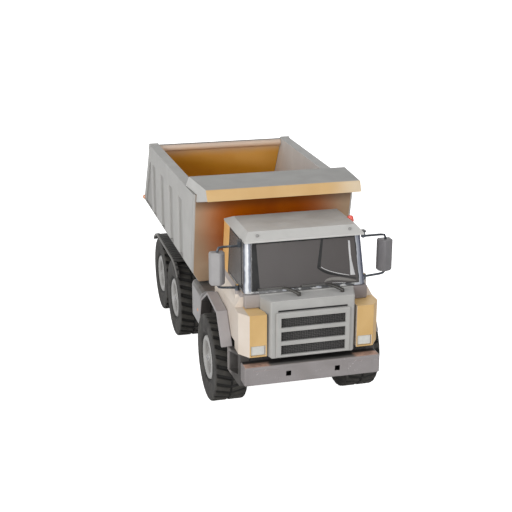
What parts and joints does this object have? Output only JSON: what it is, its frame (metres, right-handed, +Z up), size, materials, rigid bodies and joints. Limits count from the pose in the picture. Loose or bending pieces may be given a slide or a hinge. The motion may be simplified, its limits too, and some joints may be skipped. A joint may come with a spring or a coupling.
{
  "type": "toy dump truck",
  "caption": "Six-wheel toy dump truck with a boxy cab, tipping load body on a telescopic hoist, swinging tailgate and folding wire-arm mirrors.",
  "frame": {"origin": "on the ground under the middle of the truck's length and width", "axes": "the truck faces -Y; +X is on the viewer's right when looking at its front; +Z is up"},
  "size_m": [0.208, 0.4902, 0.2385],
  "materials": {
    "body_grey": "moulded plastic, fine grain",
    "pale_grey": "moulded plastic, slightly glossy",
    "cab_yellow": "moulded yellow plastic",
    "tub_orange": "moulded orange-brown plastic",
    "trim_grey": "moulded dark grey plastic",
    "frame_dark": "moulded black plastic",
    "mesh_black": "black plastic",
    "tyre_rubber": "matte rubber",
    "axle_steel": "bright steel",
    "smoked_clear": "clear smoked plastic",
    "headlight_lens": "clear moulded lens",
    "beacon_red": "clear red plastic",
    "lamp_amber": "clear amber plastic"
  },
  "bodies": {
    "chassis": {"chassis_frame": "frame_dark", "front_axle_carrier": "frame_dark", "mid_axle_carrier": "frame_dark", "rear_axle_carrier": "frame_dark", "front_bumper": "trim_grey", "cab_body": "cab_yellow", "cab_roof": "pale_grey", "window_insert": "smoked_clear", "hood": "pale_grey", "grille_frame": "pale_grey", "grille_mesh": "mesh_black", "cowl": "trim_grey", "wiper_left": "frame_dark", "wiper_right": "frame_dark", "headlight_left": "headlight_lens", "headlight_right": "headlight_lens", "beacon": "beacon_red", "front_fender_left": "trim_grey", "front_fender_right": "trim_grey", "step_left": "trim_grey", "step_right": "trim_grey", "side_tank_left": "body_grey", "side_tank_right": "body_grey", "rear_mudguard_left": "frame_dark", "rear_mudguard_right": "frame_dark", "tip_hinge_pin": "axle_steel"},
    "front_wheels": {"front_axle": "axle_steel", "rim_front_left": "body_grey", "rim_front_right": "body_grey", "tyre_front_left": "tyre_rubber", "tyre_front_right": "tyre_rubber"},
    "mid_wheels": {"mid_axle": "axle_steel", "rim_mid_left": "body_grey", "rim_mid_right": "body_grey", "tyre_mid_left": "tyre_rubber", "tyre_mid_right": "tyre_rubber"},
    "rear_wheels": {"rear_axle": "axle_steel", "rim_rear_left": "body_grey", "rim_rear_right": "body_grey", "tyre_rear_left": "tyre_rubber", "tyre_rear_right": "tyre_rubber"},
    "dump_body": {"tub_floor": "tub_orange", "tub_bulkhead": "tub_orange", "tub_side_left": "body_grey", "tub_side_right": "body_grey", "tub_canopy": "body_grey", "canopy_lip": "cab_yellow", "tailgate_hinge_rod": "axle_steel", "marker_lamp_left": "lamp_amber", "marker_lamp_right": "lamp_amber", "hoist_top_pin": "axle_steel"},
    "tailgate_body": {"tailgate": "tub_orange"},
    "mirror_left": {"mirror_arm_left": "frame_dark", "mirror_housing_left": "body_grey"},
    "mirror_right": {"mirror_arm_right": "frame_dark", "mirror_housing_right": "body_grey"},
    "hoist_base": {"hoist_barrel": "axle_steel"},
    "hoist_middle": {"hoist_stage": "axle_steel"},
    "hoist_ram": {"hoist_rod": "axle_steel"}
  },
  "joints": [
    {"name": "front_axle_spin", "type": "hinge", "parent": "chassis", "child": "front_wheels", "pos_m": [0, -0.14762, 0.04932], "axis": [1, 0, 0], "continuous": true},
    {"name": "mid_axle_spin", "type": "hinge", "parent": "chassis", "child": "mid_wheels", "pos_m": [0, 0.05138, 0.04932], "axis": [1, 0, 0], "continuous": true},
    {"name": "rear_axle_spin", "type": "hinge", "parent": "chassis", "child": "rear_wheels", "pos_m": [0, 0.15188, 0.04932], "axis": [1, 0, 0], "continuous": true},
    {"name": "dump_tilt", "type": "hinge", "parent": "chassis", "child": "dump_body", "pos_m": [0, 0.17988, 0.09692], "axis": [-1, 0, 0], "range_deg": [0, 50]},
    {"name": "tailgate_swing", "type": "hinge", "parent": "dump_body", "child": "tailgate_body", "pos_m": [0, 0.18603, 0.21902], "axis": [1, 0, 0], "range_deg": [0, 75]},
    {"name": "mirror_left_fold", "type": "hinge", "parent": "chassis", "child": "mirror_left", "pos_m": [-0.07115, -0.19912, 0.14592], "axis": [-0.0512, 0, -0.9987], "range_deg": [0, 70]},
    {"name": "mirror_right_fold", "type": "hinge", "parent": "chassis", "child": "mirror_right", "pos_m": [0.07115, -0.19912, 0.14592], "axis": [-0.0512, 0, 0.9987], "range_deg": [0, 70]},
    {"name": "hoist_tilt", "type": "hinge", "parent": "chassis", "child": "hoist_base", "pos_m": [0, 0.1067, 0.06992], "axis": [-1, 0, 0], "range_deg": [0, 25.1]},
    {"name": "hoist_stage_slide", "type": "slide", "parent": "hoist_base", "child": "hoist_middle", "axis": [0, -0.1422, 0.9898], "range_m": [0, 0.03091]},
    {"name": "hoist_rod_slide", "type": "slide", "parent": "hoist_middle", "child": "hoist_ram", "axis": [0, -0.1422, 0.9898], "range_m": [0, 0.03091]}
  ],
  "couplings": [
    {"joint": "hoist_tilt", "follows": "dump_tilt", "ratio": 0.5},
    {"joint": "hoist_stage_slide", "follows": "dump_tilt", "m_per_rad": 0.035187},
    {"joint": "hoist_rod_slide", "follows": "dump_tilt", "m_per_rad": 0.035187}
  ]
}
